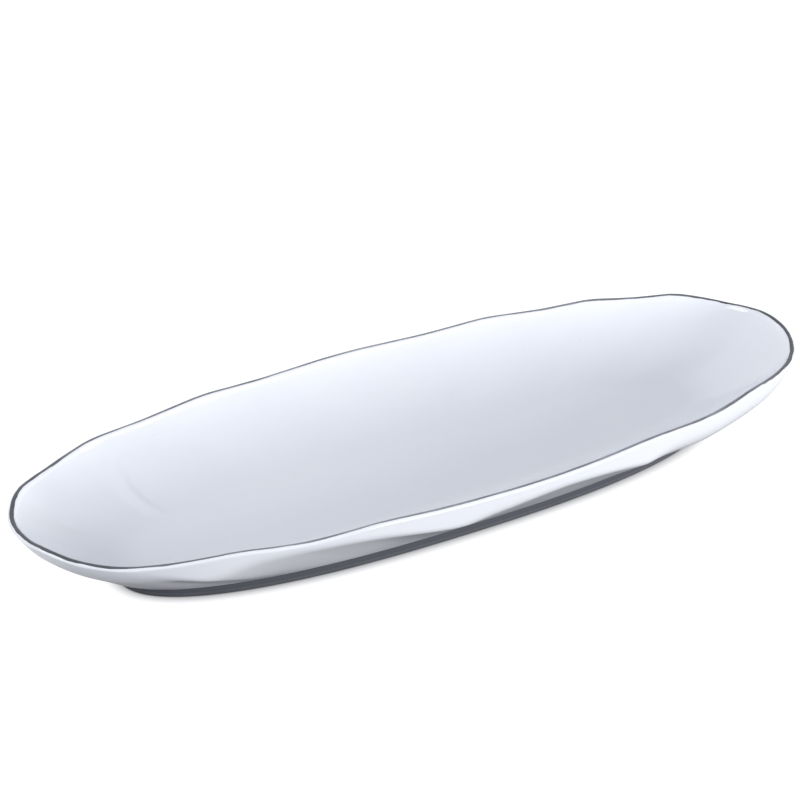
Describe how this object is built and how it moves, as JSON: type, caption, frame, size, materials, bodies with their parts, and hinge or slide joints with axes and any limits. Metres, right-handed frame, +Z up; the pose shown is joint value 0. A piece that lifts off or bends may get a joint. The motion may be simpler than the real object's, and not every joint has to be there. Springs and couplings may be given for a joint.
{
  "type": "oval serving platter",
  "caption": "Long oval porcelain platter for kebabs: a shallow boat-shaped well, softly faceted wall, wavy rim with a dark fired band, and an oval foot ring under the base.",
  "frame": {"origin": "on the table, under the middle of the oval", "axes": "+X along the platter, +Y across it, +Z up out of the well"},
  "size_m": [0.3799, 0.142, 0.037],
  "materials": {
    "glazed_porcelain": "gloss",
    "fired_rim_band": "satin",
    "unglazed_porcelain": "matt"
  },
  "bodies": {
    "root": {"platter_shell": "glazed_porcelain", "rim_band": "fired_rim_band", "foot_ring": "unglazed_porcelain"}
  },
  "joints": []
}
